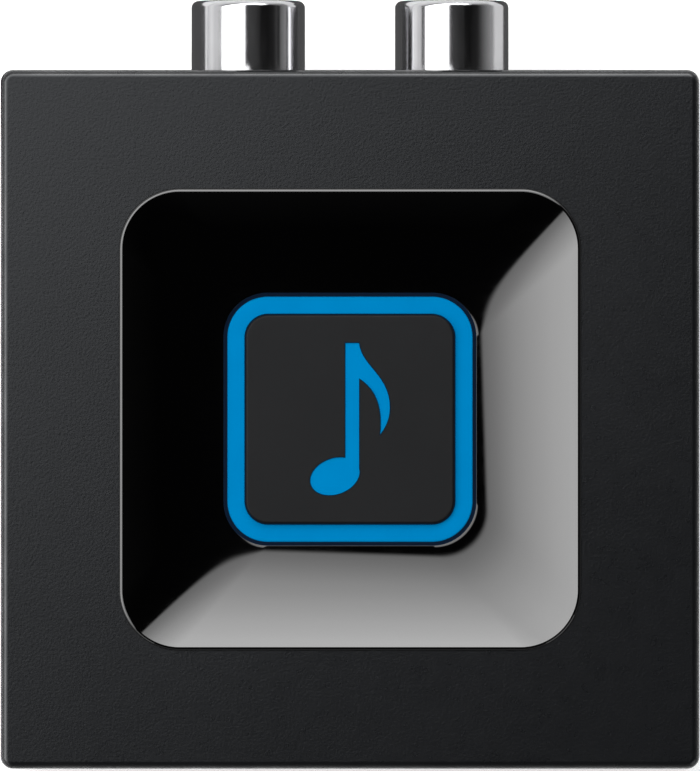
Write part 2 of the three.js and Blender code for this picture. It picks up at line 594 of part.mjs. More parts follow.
place('top_shell', topShell(), 'matteBlack');
place('bottom_cover', bottomCover(), 'matteBlack');
place('base_pad', basePad(), 'rubber');
place('rear_panel', rearPanel(), 'matteBlack');
PILLARS.forEach(([x, y], i) => {
  const { head, headHeight, shank, length, seat } = COVER_SCREW;
  const fastener = screw(head, headHeight, shank, length);
  place(`cover_screw_${i + 1}`, fastener, 'steel', x, y, seat).rotation.x = Math.PI;
});

place('dish_bezel', dishBezel(), 'glossBlack');
place('button_lens', buttonLens(), 'blueLens');
place('button_cap', buttonCap(), 'capBlack');
place('light_shield', lightShield(), 'white');
buttonBoardParts();

mainBoardParts();
boardLink();
phonoJacks();
minijack();
powerJack();

export default receiver;
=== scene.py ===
"""A small square wireless audio receiver on a pale floor, seen straight from above.

Shapes are written in millimetres and turned into metres as each mesh is made. Places come from the
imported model's boxes. +Z is up, and the rear with the jacks is along +Y.
"""
import json
import math

import bmesh
import bpy
from mathutils import Matrix, Vector


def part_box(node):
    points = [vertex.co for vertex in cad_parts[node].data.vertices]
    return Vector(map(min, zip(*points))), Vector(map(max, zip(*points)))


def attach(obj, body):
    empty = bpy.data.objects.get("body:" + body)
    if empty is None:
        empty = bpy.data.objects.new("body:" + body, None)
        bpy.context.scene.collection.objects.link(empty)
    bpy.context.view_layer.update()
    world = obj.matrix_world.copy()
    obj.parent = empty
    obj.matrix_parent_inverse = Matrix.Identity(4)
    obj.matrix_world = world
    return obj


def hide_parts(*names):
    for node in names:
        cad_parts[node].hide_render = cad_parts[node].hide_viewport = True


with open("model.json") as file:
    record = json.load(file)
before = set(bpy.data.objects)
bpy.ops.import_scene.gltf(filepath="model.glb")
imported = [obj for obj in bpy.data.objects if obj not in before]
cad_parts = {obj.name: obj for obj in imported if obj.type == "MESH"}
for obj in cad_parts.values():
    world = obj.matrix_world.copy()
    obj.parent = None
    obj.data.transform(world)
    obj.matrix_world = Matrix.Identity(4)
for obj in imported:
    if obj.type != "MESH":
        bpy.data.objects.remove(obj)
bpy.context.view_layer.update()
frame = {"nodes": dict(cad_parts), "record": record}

MM = 0.001


def box_mm(node):
    low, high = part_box(node)
    return Vector(low) / MM, Vector(high) / MM


def middle(node):
    low, high = box_mm(node)
    return (low + high) / 2


# ---- Sizes, in millimetres -----------------------------------------------------------------------

SHELL_LOW, SHELL_HIGH = box_mm("top_shell")
COVER_LOW = box_mm("bottom_cover")[0]
PAD_HIGH = box_mm("base_pad")[1]
PANEL_LOW, PANEL_HIGH = box_mm("rear_panel")
DISH_LOW, DISH_HIGH = box_mm("dish_bezel")
LENS_LOW, LENS_HIGH = box_mm("button_lens")
CAP_LOW, CAP_HIGH = box_mm("button_cap")
BARREL_LOW, BARREL_HIGH = box_mm("rca_barrel_left")

HALF = SHELL_HIGH.x
FACE = SHELL_HIGH.z
PARTING = SHELL_LOW.z
PARTING_EDGE = 0.12
BODY_CORNER = 0.9
BODY_EDGE = 0.55
WALL = 1.6
REAR_WALL = 2.0
CEILING = FACE - WALL
SCREWS = [middle(f"cover_screw_{i}") for i in range(1, 5)]
BEZEL_SCREWS = [middle(f"button_board_screw_{i}") for i in range(1, 5)]

WINDOW_HALF_X = 22.3
WINDOW_HALF_Z = 7.8
WINDOW_CORNER = 1.5
WINDOW_MIDDLE = 12.4
WINDOW_EDGE = 0.3

RIM_TOP = DISH_HIGH.z
RIM_HALF = 16.79
RIM_CORNER = 4.4
RIM_EDGE = 0.24
RIM_RISE = RIM_TOP - FACE
RIM_STEP = 0.02
BOWL_HALF = RIM_HALF - RIM_EDGE
BOWL_CORNER = RIM_CORNER - RIM_EDGE
FLOOR_Z = 21.5
OPENING_HALF = 9.2
OPENING_CORNER = 3.2
LIP_EDGE = 0.018
LIP_HALF = OPENING_HALF + LIP_EDGE
LIP_CORNER = OPENING_CORNER + LIP_EDGE
FLOOR_SLOPE = 0.08

RING_HALF = 8.93
RING_CORNER = 2.95
RING_TOP = 21.2
SEAT = 20.3
LIT_ABOVE = 20.6
CAP_HALF = CAP_HIGH.x
CAP_CORNER = 1.65
CAP_TOP = CAP_HIGH.z
SYMBOL_TOP = CAP_TOP - 0.15

BARREL_RADIUS = (BARREL_HIGH.x - BARREL_LOW.x) / 2
JACK_Z = middle("rca_barrel_left").z

# How far a cutting tool reaches past the faces that it cuts.
PAST = 1.0


# ---- Meshes --------------------------------------------------------------------------------------

def new_object(name, bm):
    """An object from a bmesh in millimetres, its faces pointing out."""
    bmesh.ops.recalc_face_normals(bm, faces=bm.faces)
    bmesh.ops.scale(bm, vec=(MM, MM, MM), verts=bm.verts)
    mesh = bpy.data.meshes.new(name)
    bm.to_mesh(mesh)
    bm.free()
    piece = bpy.data.objects.new(name, mesh)
    bpy.context.scene.collection.objects.link(piece)
    return piece


def strip(bm, ring, next_ring):
    count = len(ring)
    for i in range(count):
        j = (i + 1) % count
        bm.faces.new((ring[i], ring[j], next_ring[j], next_ring[i]))


def skin(name, rings, closed=False):
    """A skin over rings of equal length. An open one is closed by a face at each end."""
    bm = bmesh.new()
    loops = [[bm.verts.new(point) for point in ring] for ring in rings]
    for ring, next_ring in zip(loops, loops[1:]):
        strip(bm, ring, next_ring)
    if closed:
        strip(bm, loops[-1], loops[0])
    else:
        bm.faces.new(list(reversed(loops[0])))
        bm.faces.new(loops[-1])
    return new_object(name, bm)


def square_ring(half, corner, z, half_y=None, centre_y=0.0, steps=16):
    """A rounded rectangle at height z, counter-clockwise from above."""
    half_y = half if half_y is None else half_y
    points = []
    for quarter, (sx, sy) in enumerate(((1, -1), (1, 1), (-1, 1), (-1, -1))):
        for i in range(steps + 1):
            turn = (quarter - 1 + i / steps) * math.pi / 2
            x = sx * (half - corner) + corner * math.cos(turn)
            y = sy * (half_y - corner) + corner * math.sin(turn) + centre_y
            points.append((x, y, z))
    return points


def square_skin(name, profile, closed=False, steps=16):
    return skin(name, [square_ring(*step, steps=steps) for step in profile], closed)


def bend(half, corner, z, radius, start, end, steps):
    """Profile steps round a circle about (half, z). The corner grows with the half width."""
    turns = [math.radians(start + (end - start) * i / steps) for i in range(steps + 1)]
    return [
        (half + radius * math.cos(t), corner + radius * math.cos(t), z + radius * math.sin(t))
        for t in turns
    ]


def lower_edge(half, corner, z, radius, steps):
    """Profile steps from the bottom face at height z out to the side."""
    return bend(half - radius, corner - radius, z + radius, radius, -90, 0, steps)


def upper_edge(half, corner, z, radius, steps):
    """Profile steps from the side in to the top face at height z."""
    return bend(half - radius, corner - radius, z - radius, radius, 0, 90, steps)


def hole_edge(half, corner, z, radius, steps):
    """Profile steps from the top face at height z into a hole."""
    return bend(half + radius, corner + radius, z - radius, radius, 90, 180, steps)


def recess_edge(half, corner, z, radius, steps):
    """Profile steps from a recess in the underside out to the bottom face at height z."""
    return bend(half + radius, corner + radius, z + radius, radius, 180, 270, steps)


def turned(name, profile, x, z, segments=96, closed=True):
    """A profile of (radius, y) turned about the line along Y through x and z.

    It closes on itself, or else flat faces close its two ends.
    """
    turns = [2 * math.pi * i / segments for i in range(segments)]
    rings = [
        [(x + radius * math.cos(t), y, z + radius * math.sin(t)) for t in turns]
        for radius, y in profile
    ]
    return skin(name, rings, closed)


def curl(radius, y, round_radius, start, end, steps):
    """Profile points (radius, y) round a circle, for turned pieces."""
    turns = [math.radians(start + (end - start) * i / steps) for i in range(steps + 1)]
    return [(radius + round_radius * math.cos(t), y + round_radius * math.sin(t)) for t in turns]


def tip_edge(radius, tip, edge, steps):
    """Profile points round the outer edge of a turned piece's tip."""
    return curl(radius - edge, tip - edge, edge, 0, 90, steps)


def post(radius, z0, z1, x, y, segments=32):
    turns = [2 * math.pi * i / segments for i in range(segments)]
    return prism([(x + radius * math.cos(t), y + radius * math.sin(t)) for t in turns], z0, z1)


def block(x0, x1, y0, y1, z0, z1):
    return prism([(x0, y0), (x1, y0), (x1, y1), (x0, y1)], z0, z1)


def prism(outline, z0, z1):
    return skin("prism", [[(x, y, z0) for x, y in outline], [(x, y, z1) for x, y in outline]])


def settle(piece):
    """Replaces the piece's mesh by what its modifiers make of it."""
    depsgraph = bpy.context.evaluated_depsgraph_get()
    mesh = bpy.data.meshes.new_from_object(piece.evaluated_get(depsgraph))
    piece.modifiers.clear()
    piece.data = mesh


def combine(piece, operation, *tools):
    for tool in tools:
        modifier = piece.modifiers.new("combine", "BOOLEAN")
        modifier.operation = operation
        modifier.solver = "EXACT"
        modifier.object = tool
        settle(piece)
        bpy.data.objects.remove(tool)
    return piece


def cut(piece, *tools):
    return combine(piece, "DIFFERENCE", *tools)


def join(piece, *tools):
    return combine(piece, "UNION", *tools)


SHARP_DEGREES = 32


def shade(piece):
    """Smooth shading over the rounded edges, with flat faces kept flat."""
    mesh = piece.data
    mesh.shade_smooth()
    mesh.set_sharp_from_angle(angle=math.radians(SHARP_DEGREES))
    weighted = piece.modifiers.new("flat_faces", "WEIGHTED_NORMAL")
    weighted.keep_sharp = True
    weighted.weight = 80


def fit(piece, material, body, slot, *nodes):
    """Gives a piece its finish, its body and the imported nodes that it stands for."""
    shade(piece)
    piece.data.materials.clear()
    piece.data.materials.append(material)
    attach(piece, body)
    if nodes:
        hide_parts(*nodes)
    return piece


# ---- Finishes ------------------------------------------------------------------------------------

class Finish:
    """A Principled material whose patterns lie in object space; pattern sizes are in millimetres."""

    def __init__(self, name, **sockets):
        self.material = bpy.data.materials.new(name)
        self.material.use_nodes = True
        self.nodes = self.material.node_tree.nodes
        self.links = self.material.node_tree.links
        self.shader = self.nodes["Principled BSDF"]
        self.place = self.nodes.new("ShaderNodeTexCoord").outputs["Object"]
        for socket, value in sockets.items():
            self.shader.inputs[socket.replace("_", " ")].default_value = value
        self.height = None

    def link(self, output, node, socket):
        self.links.new(output, node.inputs[socket])

    def noise(self, size, detail, roughness=0.5, stretch=(1, 1, 1)):
        node = self.nodes.new("ShaderNodeTexNoise")
        node.inputs["Scale"].default_value = 1 / (size * MM)
        node.inputs["Detail"].default_value = detail
        node.inputs["Roughness"].default_value = roughness
        self.link(self.stretched(stretch), node, "Vector")
        return node.outputs["Fac"]

    def cells(self, size, smoothness, stretch=(1, 1, 1)):
        node = self.nodes.new("ShaderNodeTexVoronoi")
        node.feature = "SMOOTH_F1"
        node.inputs["Scale"].default_value = 1 / (size * MM)
        node.inputs["Smoothness"].default_value = smoothness
        self.link(self.stretched(stretch), node, "Vector")
        return node.outputs["Distance"]

    def stretched(self, stretch):
        if tuple(stretch) == (1, 1, 1):
            return self.place
        node = self.nodes.new("ShaderNodeMapping")
        node.inputs["Scale"].default_value = stretch
        self.link(self.place, node, "Vector")
        return node.outputs["Vector"]

    def spread(self, pattern, low, high, from_low=0.3, from_high=0.7):
        """The pattern stretched to run from low to high; most of a noise lies between 0.3 and 0.7."""
        node = self.nodes.new("ShaderNodeMapRange")
        node.inputs["From Min"].default_value = from_low
        node.inputs["From Max"].default_value = from_high
        node.inputs["To Min"].default_value = low
        node.inputs["To Max"].default_value = high
        self.link(pattern, node, "Value")
        return node.outputs["Result"]

    def math(self, operation, first, second):
        node = self.nodes.new("ShaderNodeMath")
        node.operation = operation
        self.link(first, node, 0)
        self.link(second, node, 1)
        return node.outputs["Value"]

    def mix(self, share, first, second):
        """A colour between two, each a colour or an output."""
        node = self.nodes.new("ShaderNodeMix")
        node.data_type = "RGBA"
        self.link(share, node, "Factor")
        for socket, colour in (("A", first), ("B", second)):
            if isinstance(colour, tuple):
                node.inputs[socket].default_value = (*colour, 1)
            else:
                self.link(colour, node, socket)
        return node.outputs["Result"]

    def edges(self):
        """1 where the surface turns between two of the housing's flat directions, 0 on flat faces."""
        on_flat, on_edge = 0.998, 0.93
        facing = self.nodes.new("ShaderNodeNewGeometry").outputs["Normal"]
        size = self.nodes.new("ShaderNodeVectorMath")
        size.operation = "ABSOLUTE"
        self.link(facing, size, 0)
        axes = self.nodes.new("ShaderNodeSeparateXYZ")
        self.link(size.outputs["Vector"], axes, 0)
        largest = self.math("MAXIMUM", axes.outputs["X"], axes.outputs["Y"])
        largest = self.math("MAXIMUM", largest, axes.outputs["Z"])
        return self.spread(largest, 0, 1, on_flat, on_edge)

    def above(self, z):
        """0 below a height in millimetres and 1 above it."""
        softness = 0.1
        axes = self.nodes.new("ShaderNodeSeparateXYZ")
        self.link(self.place, axes, 0)
        return self.spread(axes.outputs["Z"], 0, 1, (z - softness) * MM, (z + softness) * MM)

    def blend(self, pattern, dark, light):
        return self.mix(self.spread(pattern, 0, 1), dark, light)

    def colour(self, pattern, dark, light):
        self.link(self.blend(pattern, dark, light), self.shader, "Base Color")
        return self

    def gloss(self, pattern, low, high):
        self.link(self.spread(pattern, low, high), self.shader, "Roughness")
        return self

    def bump(self, pattern, height):
        """Adds a height pattern; height is in millimetres."""
        node = self.nodes.new("ShaderNodeBump")
        node.inputs["Distance"].default_value = height * MM
        node.inputs["Strength"].default_value = 1.0
        self.link(pattern, node, "Height")
        if self.height is not None:
            self.link(self.height, node, "Normal")
        self.height = node.outputs["Normal"]
        self.link(self.height, self.shader, "Normal")
        return self


def housing_plastic():
    """Spark-eroded matte plastic, its edges rubbed a little shinier than its faces, and painted paler
    as a painted highlight along them.
    """
    cool_tint = (0.93, 0.96, 1.0, 1)
    look = Finish(
        "housing_plastic", Specular_IOR_Level=0.305, Specular_Tint=cool_tint, Coat_Roughness=0.22
    )
    edge_wear_and_highlight = look.math("MULTIPLY", look.edges(), look.spread(look.noise(2.5, 3), 0.55, 1.0))
    plain = look.blend(look.noise(9, 3), (0.0030, 0.0033, 0.0039), (0.0040, 0.0043, 0.0050))
    # Painted highlight: the edges get a paler colour, and the same edge mask also gives them their
    # extra coat.
    look.link(look.mix(edge_wear_and_highlight, plain, (0.0070, 0.0073, 0.0080)), look.shader, "Base Color")
    look.link(edge_wear_and_highlight, look.shader, "Coat Weight")
    look.gloss(look.noise(1.1, 3), 0.27, 0.295)
    look.bump(look.noise(0.22, 1), 0.007)
    look.bump(look.noise(0.12, 1), 0.004)
    return look.material


def cap_plastic():
    look = Finish("cap_plastic", Specular_IOR_Level=0.165)
    look.colour(look.noise(5, 3), (0.0040, 0.0043, 0.0050), (0.0050, 0.0053, 0.0060))
    look.gloss(look.noise(1.2, 3), 0.50, 0.56)
    look.bump(look.noise(0.12, 2), 0.002)
    return look.material


def gloss_black():
    """Piano-black moulding: almost mirror smooth, with faint hairlines in its roughness."""
    look = Finish("gloss_black", Coat_Weight=1.0, Coat_Roughness=0.03)
    look.colour(look.noise(12, 2), (0.0002, 0.0002, 0.0002), (0.0004, 0.0004, 0.0005))
    look.gloss(look.noise(2.0, 4, 0.6, (1, 3, 1)), 0.035, 0.075)
    look.bump(look.noise(7, 1), 0.004)
    return look.material


def lit_blue():
    """Translucent blue light guide: its frame and symbol are lit, and its flange stays dark."""
    look = Finish("lit_blue", Specular_IOR_Level=0.0, Emission_Strength=1.0)
    lit = look.above(LIT_ABOVE)
    glow = look.blend(look.noise(4, 2), (0.0, 0.066, 0.158), (0.0, 0.071, 0.168))
    look.link(look.mix(lit, (0.003, 0.008, 0.020), glow), look.shader, "Emission Color")
    plain = look.blend(look.noise(3, 2), (0.0, 0.121, 0.290), (0.0, 0.130, 0.308))
    look.link(look.mix(lit, (0.012, 0.020, 0.034), plain), look.shader, "Base Color")
    look.gloss(look.noise(0.8, 2), 0.3, 0.42)
    look.bump(look.noise(0.2, 2), 0.002)
    return look.material


def plated(name, tint, low, high):
    """Bright plating with fine lengthwise polishing marks."""
    look = Finish(name, Metallic=1.0)
    look.colour(look.noise(2.5, 3), tuple(0.94 * c for c in tint), tint)
    look.gloss(look.noise(0.6, 4, 0.6, (1, 0.15, 1)), low, high)
    look.bump(look.noise(1.6, 2), 0.0015)
    return look.material


def satin_plastic(name, dark, light, roughness=0.35):
    look = Finish(name)
    look.colour(look.noise(2.0, 3), dark, light)
    look.gloss(look.noise(0.6, 2), roughness - 0.05, roughness + 0.08)
    look.bump(look.noise(0.15, 2), 0.004)
    return look.material


def pad_rubber():
    look = Finish("pad_rubber")
    look.colour(look.noise(6, 4), (0.0105, 0.0105, 0.011), (0.0165, 0.0165, 0.017))
    look.gloss(look.noise(1.5, 3), 0.72, 0.9)
    look.bump(look.cells(0.55, 0.3), 0.05)
    look.bump(look.noise(0.2, 3), 0.015)
    return look.material


def circuit_board():
    """Green solder mask with the copper pattern just showing through."""
    look = Finish("circuit_board")
    look.colour(look.cells(2.6, 0.0, (1, 2.5, 1)), (0.008, 0.075, 0.028), (0.014, 0.12, 0.045))
    look.gloss(look.noise(1.0, 3), 0.28, 0.45)
    look.bump(look.cells(2.6, 0.0, (1, 2.5, 1)), 0.03)
    return look.material


def moulded_chip():
    look = Finish("moulded_chip")
    look.colour(look.noise(0.8, 4), (0.010, 0.010, 0.011), (0.018, 0.018, 0.019))
    look.gloss(look.noise(0.3, 3), 0.5, 0.7)
    look.bump(look.noise(0.08, 3), 0.006)
    return look.material


def led_phosphor():
    blue_glow = (0.05, 0.45, 1.0, 1)
    look = Finish("led_phosphor", Roughness=0.4, Emission_Color=blue_glow, Emission_Strength=0.5)
    look.colour(look.noise(0.5, 3), (0.75, 0.70, 0.42), (0.86, 0.82, 0.58))
    look.bump(look.noise(0.1, 2), 0.004)
    return look.material


HOUSING = housing_plastic()
CAP = cap_plastic()
GLOSS = gloss_black()
BLUE = lit_blue()
NICKEL = plated("nickel", (0.62, 0.62, 0.635), 0.12, 0.17)
STEEL = plated("steel", (0.52, 0.52, 0.54), 0.25, 0.38)
BRASS = plated("brass", (0.76, 0.56, 0.26), 0.12, 0.22)
ALUMINIUM = plated("aluminium", (0.76, 0.77, 0.78), 0.28, 0.40)
WHITE = satin_plastic("white_insulator", (0.70, 0.69, 0.65), (0.80, 0.79, 0.75))
RED = satin_plastic("red_insulator", (0.42, 0.010, 0.014), (0.54, 0.014, 0.018))
SHIELD = satin_plastic("shield_plastic", (0.74, 0.74, 0.72), (0.82, 0.82, 0.80), 0.5)
JACK_BLACK = satin_plastic("jack_plastic", (0.010, 0.010, 0.011), (0.016, 0.016, 0.017), 0.42)
RUBBER = pad_rubber()
BOARD = circuit_board()
CHIP = moulded_chip()
LED = led_phosphor()


# ---- Housing -------------------------------------------------------------------------------------

def inner_wall(inset, corner, z):
    """A profile step along the housing's inner walls, of which the rear one is thicker."""
    side = HALF - WALL - inset
    back = HALF - REAR_WALL - inset
    return (side, corner, z, (side + back) / 2, (back - side) / 2)


def top_shell():
    corner = 0.5
    opening_gap, opening_edge = 0.005, 0.01
    post_radius, post_low, post_high = 2.2, 4.3, 20.3
    hole_radius, hole_top = 1.0, 12
    rib_half, overlap = 0.5, 0.3
    profile = [
        *lower_edge(HALF, BODY_CORNER, PARTING, PARTING_EDGE, 4),
        *upper_edge(HALF, BODY_CORNER, FACE, BODY_EDGE, 9),
        *hole_edge(RIM_HALF + opening_gap, RIM_CORNER + opening_gap, FACE, opening_edge, 2),
        (RIM_HALF + opening_gap, RIM_CORNER + opening_gap, CEILING),
        inner_wall(0, corner, CEILING),
        inner_wall(0, corner, PARTING),
    ]
    shell = square_skin("top_shell_moulding", profile, closed=True)
    for screw in SCREWS:
        side = math.copysign(1, screw.x)
        ends = sorted((screw.x + side * overlap, side * (HALF - WALL + overlap)))
        join(shell, post(post_radius, post_low, post_high, screw.x, screw.y))
        rib = block(*ends, screw.y - rib_half, screw.y + rib_half, post_low, CEILING + overlap)
        join(shell, rib)
        cut(shell, post(hole_radius, 0, hole_top, screw.x, screw.y))
    cut(shell, window_cutter())
    return fit(shell, HOUSING, "root", "housing", "top_shell")


def window_cutter():
    """A plug for the rear window, flared at the outer face so that it leaves a rounded edge."""
    flare_steps = 6
    steps = [(0, HALF - REAR_WALL - PAST)]
    for i in range(flare_steps + 1):
        turn = math.radians(90 * i / flare_steps)
        grow = WINDOW_EDGE * (1 - math.cos(turn))
        steps.append((grow, HALF - WINDOW_EDGE + WINDOW_EDGE * math.sin(turn)))
    steps.append((steps[-1][0], HALF + PAST))
    rings = []
    for grow, y in steps:
        half_x, half_z = WINDOW_HALF_X + grow, WINDOW_HALF_Z + grow
        outline = square_ring(half_x, WINDOW_CORNER + grow, 0, half_z, steps=10)
        rings.append([(across, y, WINDOW_MIDDLE - down) for across, down, _ in outline])
    return skin("window", rings)


def bottom_cover():
    parting_gap, pad_gap, recess_depth, boss_lap = 0.2, 0.15, 0.6, 0.5
    top = PARTING - parting_gap
    lip_gap, lip_wall, lip_corner, lip_top = 0.2, 1.1, 0.4, 4.0
    recess_half, recess_corner, recess_round = PAD_HIGH.x + pad_gap, 3.15, 0.1
    boss_radius, boss_low, boss_high = 2.4, top - boss_lap, 4.25
    head_radius, head_top = 2.1, 2.6
    shank_radius, shank_top = 1.1, 10
    profile = [
        (recess_half, recess_corner, COVER_LOW.z + recess_depth),
        *recess_edge(recess_half, recess_corner, COVER_LOW.z, recess_round, 3),
        *lower_edge(HALF, BODY_CORNER, COVER_LOW.z, BODY_EDGE, 8),
        *upper_edge(HALF, BODY_CORNER, top, PARTING_EDGE, 4),
        inner_wall(lip_gap, lip_corner, top),
        inner_wall(lip_gap, lip_corner, lip_top),
        inner_wall(lip_gap + lip_wall, lip_corner, lip_top),
        inner_wall(lip_gap + lip_wall, lip_corner, top),
    ]
    cover = square_skin("bottom_cover_moulding", profile)
    for screw in SCREWS:
        join(cover, post(boss_radius, boss_low, boss_high, screw.x, screw.y))
        cut(cover, post(head_radius, 0, head_top, screw.x, screw.y))
        cut(cover, post(shank_radius, 0, shank_top, screw.x, screw.y))
    return fit(cover, HOUSING, "root", "housing", "bottom_cover")


def base_pad():
    """The rubber foot, with a shallow square recess in its underside."""
    half, corner, bottom_edge, top_edge = PAD_HIGH.x, 3.0, 0.3, 0.1
    recess_half, recess_corner, recess_depth = 15.5, 2.0, 0.12
    profile = [
        (recess_half, recess_corner, recess_depth),
        *recess_edge(recess_half, recess_corner, 0, recess_depth, 4),
        *lower_edge(half, corner, 0, bottom_edge, 6),
        *upper_edge(half, corner, PAD_HIGH.z, top_edge, 3),
    ]
    return fit(square_skin("rubber_base_pad", profile), RUBBER, "root", "rubber", "base_pad")


def flared_hole(radius, x):
    """A plug for a round hole in the rear panel, with a small chamfer at the outer face."""
    face, depth, flare = PANEL_HIGH.y, 3, 0.15
    profile = [
        (radius, face - depth),
        (radius, face - flare),
        (radius + flare, face),
        (radius + flare, face + PAST),
    ]
    return turned("hole", profile, x, JACK_Z, closed=False)


def rear_panel():
    gap, power_hole_radius = 0.15, 3.1
    panel = block(PANEL_LOW.x, PANEL_HIGH.x, PANEL_LOW.y, PANEL_HIGH.y, PANEL_LOW.z, PANEL_HIGH.z)
    panel.name = "rear_panel_plate"
    for node in ("rca_barrel_left", "rca_barrel_right", "minijack_bushing"):
        low, high = box_mm(node)
        cut(panel, flared_hole((high.x - low.x) / 2 + gap, (low.x + high.x) / 2))
    cut(panel, flared_hole(power_hole_radius, middle("dc_jack_pin").x))
    return fit(panel, HOUSING, "root", "housing", "rear_panel")


# ---- Dish and button -----------------------------------------------------------------------------

def bowl_profile(steps=44):
    """From the rim down to the floor, its slope falling steadily to almost nothing at the opening."""
    top = RIM_TOP - RIM_STEP
    points = []
    for i in range(steps + 1):
        share = 1 - i / steps
        half = LIP_HALF + (BOWL_HALF - LIP_HALF) * share
        corner = LIP_CORNER + (BOWL_CORNER - LIP_CORNER) * share
        rise = FLOOR_SLOPE * share + (1 - FLOOR_SLOPE) * share ** 2
        points.append((half, corner, FLOOR_Z + (top - FLOOR_Z) * rise))
    return points


def rim_profile(steps=9):
    """The rim's outer edge, a quarter of an ellipse from the housing's face up to the rim's top."""
    points = []
    for i in range(steps + 1):
        turn = math.pi / 2 * i / steps
        out = RIM_EDGE * math.cos(turn)
        points.append((BOWL_HALF + out, BOWL_CORNER + out, FACE + RIM_RISE * math.sin(turn)))
    return points


def dish():
    collar, collar_corner, collar_depth = 1.2, 0.4, 1.4
    collar_low = FLOOR_Z - collar_depth
    wall_half, wall_corner = 16.2, 4.2
    ceiling_gap = 0.05
    flange_corner, flange_low, flange_top = 5.5, 20.7, CEILING - ceiling_gap
    boss_radius, boss_top = 1.7, 20.95
    hole_radius, hole_top = 0.8, 18.6
    profile = [
        (RIM_HALF, RIM_CORNER, flange_top),
        *rim_profile(),
        *bowl_profile(),
        *hole_edge(OPENING_HALF, OPENING_CORNER, FLOOR_Z, LIP_EDGE, 4)[1:],
        (OPENING_HALF, OPENING_CORNER, collar_low),
        (OPENING_HALF + collar, OPENING_CORNER + collar_corner, collar_low),
        (wall_half, wall_corner, flange_low),
        (DISH_HIGH.x, flange_corner, flange_low),
        (DISH_HIGH.x, flange_corner, flange_top),
    ]
    bezel = square_skin("dish_moulding", profile, closed=True, steps=24)
    for screw in BEZEL_SCREWS:
        join(bezel, post(boss_radius, DISH_LOW.z, boss_top, screw.x, screw.y))
        cut(bezel, post(hole_radius, DISH_LOW.z - PAST, hole_top, screw.x, screw.y))
    return fit(bezel, GLOSS, "root", "dish", "dish_bezel")


def bezier(p0, p1, p2, p3, steps=14):
    """Points along a cubic curve, without its first."""
    points = []
    for i in range(1, steps + 1):
        t = i / steps
        u = 1 - t
        weights = (u ** 3, 3 * u * u * t, 3 * u * t * t, t ** 3)
        points.append(tuple(sum(w * p[k] for w, p in zip(weights, (p0, p1, p2, p3))) for k in (0, 1)))
    return points


def note_outlines():
    """The lit symbol, an eighth note: its head, its stem and its flag."""
    head_x, head_y, half_long, half_short, tilt = -1.1, -4.15, 1.85, 1.3, 0.35
    left, right, bottom, top = -0.34, 0.66, -4.0, 5.55
    flag_x, flag_foot = 0.3, 3.2
    head_steps = 64
    head = []
    for i in range(head_steps):
        turn = 2 * math.pi * i / head_steps
        along, across = half_long * math.cos(turn), half_short * math.sin(turn)
        x = head_x + along * math.cos(tilt) - across * math.sin(tilt)
        y = head_y + along * math.sin(tilt) + across * math.cos(tilt)
        head.append((x, y))
    stem = [(left, bottom), (right, bottom), (right, top), (left, top)]
    widest, tip = (2.9, 0.9), (2.2, -1.1)
    flag = [(flag_x, top), (right, top)]
    flag += bezier((right, top), (0.8, 3.9), (2.9, 3.2), widest)
    flag += bezier(widest, (2.9, 0.1), (2.65, -0.5), tip)
    flag += bezier(tip, (2.45, 1.4), (1.6, 2.5), (flag_x, flag_foot))
    flag.reverse()
    return [head, stem, flag]


def grown(outline, amount):
    """The outline moved outwards by an amount, each corner along its bisector."""
    area = sum(a[0] * b[1] - b[0] * a[1] for a, b in zip(outline, outline[1:] + outline[:1]))
    side = math.copysign(1, area)
    sharpest = 0.4
    moved = []
    for before, here, after in zip(outline[-1:] + outline[:-1], outline, outline[1:] + outline[:1]):
        first = Vector((here[1] - before[1], before[0] - here[0])).normalized()
        second = Vector((after[1] - here[1], here[0] - after[0])).normalized()
        bisector = (first + second).normalized()
        reach = side * amount / max(bisector.dot(first), sharpest)
        moved.append((here[0] + bisector.x * reach, here[1] + bisector.y * reach))
    return moved


def note(z0, z1, grow=0.0):
    outlines = note_outlines()
    if grow:
        outlines = [grown(outline, grow) for outline in outlines]
    return join(*(prism(outline, z0, z1) for outline in outlines))


def button_lens():
    """The light guide's frame, on a flanged plate with a recess under it and a pad for the switch."""
    flange_corner, flange_top = 3.85, 19.85
    recess_half, recess_corner, recess_depth = 7.8, 2.0, 0.4
    cap_gap, outer_edge, inner_edge = 0.08, 0.1, 0.05
    pad_radius, pad_height = 2.4, 0.8
    low = LENS_LOW.z
    inner, inner_corner = CAP_HALF + cap_gap, CAP_CORNER + cap_gap
    profile = [
        (recess_half, recess_corner, low + recess_depth),
        (recess_half, recess_corner, low),
        (LENS_HIGH.x, flange_corner, low),
        (LENS_HIGH.x, flange_corner, flange_top),
        (RING_HALF, RING_CORNER, flange_top),
        *upper_edge(RING_HALF, RING_CORNER, RING_TOP, outer_edge, 5),
        *hole_edge(inner, inner_corner, RING_TOP, inner_edge, 3),
        (inner, inner_corner, SEAT),
    ]
    ring = square_skin("button_light_ring", profile, steps=24)
    join(ring, post(pad_radius, low, low + pad_height, 0, 0))
    return fit(ring, BLUE, "button", "lens", "button_lens")


def button_symbol():
    symbol = note(SEAT, SYMBOL_TOP)
    symbol.name = "button_symbol"
    return fit(symbol, BLUE, "button", "lens", "button_lens")


def button_cap():
    edge, symbol_gap = 0.18, 0.06
    profile = [
        (CAP_HALF, CAP_CORNER, CAP_LOW.z),
        *upper_edge(CAP_HALF, CAP_CORNER, CAP_TOP, edge, 6),
    ]
    cap = square_skin("button_matte_cap", profile, steps=24)
    cut(cap, note(CAP_LOW.z - PAST, CAP_TOP + PAST, symbol_gap))
    return fit(cap, CAP, "button", "cap", "button_cap")


# ---- Rear jacks ----------------------------------------------------------------------------------

